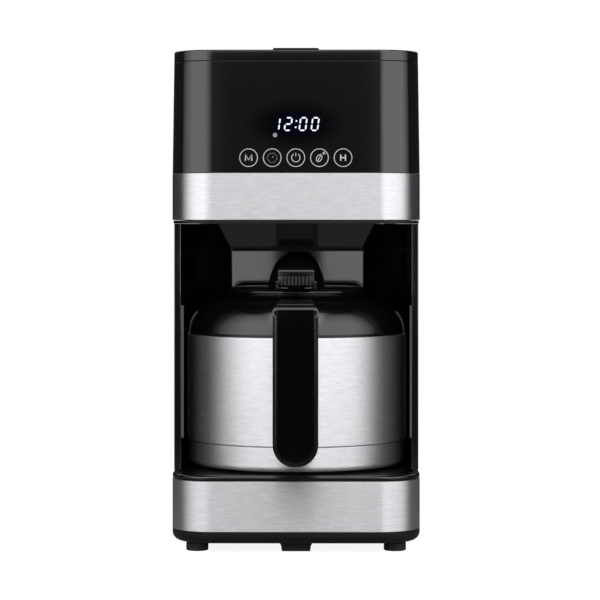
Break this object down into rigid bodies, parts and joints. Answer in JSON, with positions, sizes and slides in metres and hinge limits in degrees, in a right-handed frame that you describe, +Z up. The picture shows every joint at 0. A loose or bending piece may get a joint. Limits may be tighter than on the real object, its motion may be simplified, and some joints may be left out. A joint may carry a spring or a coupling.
{
  "type": "drip coffee maker",
  "caption": "Narrow drip coffee maker with a hinged top lid, lift-out filter basket, touch-key display head and an insulated steel carafe that slides out of its bay.",
  "frame": {"origin": "on the table at the centre of the footprint, including the carafe's handle", "axes": "+Z up, -Y towards the user, +X to the right of the machine as the user faces it"},
  "size_m": [0.18, 0.278, 0.3627],
  "materials": {
    "gloss_black": "polished",
    "satin_black": "satin",
    "rubber_black": "matte",
    "brushed_steel": "horizontally brushed",
    "liner_steel": "smooth",
    "screw_steel": "plain",
    "heater_aluminium": "cast",
    "smoke_clear": "clear, smoke tinted",
    "silicone": "matte",
    "board_green": "satin",
    "display_dark": "polished"
  },
  "bodies": {
    "body": {"base_deck": "gloss_black", "side_panel_left": "gloss_black", "side_panel_right": "gloss_black", "niche_back_panel": "gloss_black", "head_shell": "gloss_black", "filter_well": "gloss_black", "rear_top_cap": "gloss_black", "base_pan": "satin_black", "carafe_rest": "satin_black", "rear_cover": "satin_black", "head_floor": "satin_black", "foot_front_left": "rubber_black", "foot_front_right": "rubber_black", "foot_rear_left": "rubber_black", "foot_rear_right": "rubber_black", "foot_front_centre": "rubber_black", "cord_gland": "rubber_black", "base_band": "brushed_steel", "head_band": "brushed_steel", "base_screw_1": "screw_steel", "base_screw_2": "screw_steel", "base_screw_3": "screw_steel", "base_screw_4": "screw_steel", "rear_screw_1": "screw_steel", "rear_screw_2": "screw_steel", "rear_screw_3": "screw_steel", "rear_screw_4": "screw_steel", "thermostat": "screw_steel", "lid_hinge_pin": "screw_steel", "flow_heater": "heater_aluminium", "water_tank": "smoke_clear", "water_gauge_window": "smoke_clear", "inlet_hose": "silicone", "outlet_hose": "silicone", "check_valve": "silicone", "riser_tube": "silicone", "touch_contacts": "silicone", "power_board": "board_green", "display_board": "board_green", "display_module": "display_dark"},
    "top_lid": {"top_lid": "gloss_black", "shower_head": "satin_black"},
    "filter_basket": {"filter_basket": "satin_black"},
    "drip_stop": {"drip_stop_valve": "silicone", "drip_stop_spring": "screw_steel"},
    "carafe": {"carafe_shell": "brushed_steel", "carafe_base_cup": "brushed_steel", "carafe_liner": "liner_steel", "carafe_collar": "gloss_black", "handle": "satin_black", "handle_inlay": "satin_black", "handle_screw": "screw_steel"},
    "carafe_lid": {"carafe_lid": "gloss_black", "lid_gasket": "silicone", "lever_pin": "screw_steel"},
    "thumb_lever": {"thumb_lever": "satin_black"},
    "pouring_valve": {"pouring_valve": "satin_black"}
  },
  "joints": [
    {"name": "lid_hinge", "type": "hinge", "parent": "body", "child": "top_lid", "pos_m": [0, 0.113, 0.35765], "axis": [-1, 0, 0], "range_deg": [0, 90]},
    {"name": "basket_lift", "type": "slide", "parent": "body", "child": "filter_basket", "axis": [0, 0, 1], "range_m": [0, 0.121]},
    {"name": "drip_stop_slide", "type": "slide", "parent": "filter_basket", "child": "drip_stop", "axis": [0, 0, 1], "range_m": [0, 0.003], "stiffness_N_per_m": 80, "springref_m": -0.001, "deforming": ["drip_stop_spring"]},
    {"name": "carafe_slide", "type": "slide", "parent": "body", "child": "carafe", "axis": [0, -1, 0], "range_m": [0, 0.26]},
    {"name": "carafe_lid_twist", "type": "hinge", "parent": "carafe", "child": "carafe_lid", "pos_m": [0, -0.009, 0.187], "axis": [0, 0, 1], "range_deg": [0, 50]},
    {"name": "lever_press", "type": "hinge", "parent": "carafe_lid", "child": "thumb_lever", "pos_m": [0, -0.05, 0.1932], "axis": [1, 0, 0], "range_deg": [0, 10], "stiffness_Nm_per_rad": 0.15, "springref_deg": -2.86},
    {"name": "pour_valve_lift", "type": "slide", "parent": "carafe_lid", "child": "pouring_valve", "axis": [0, 0, 1], "range_m": [0, 0.0018]}
  ],
  "couplings": [
    {"joint": "basket_lift", "follows": "lid_hinge", "m_per_rad": 0.0764},
    {"joint": "pour_valve_lift", "follows": "lever_press", "m_per_rad": 0.01}
  ]
}
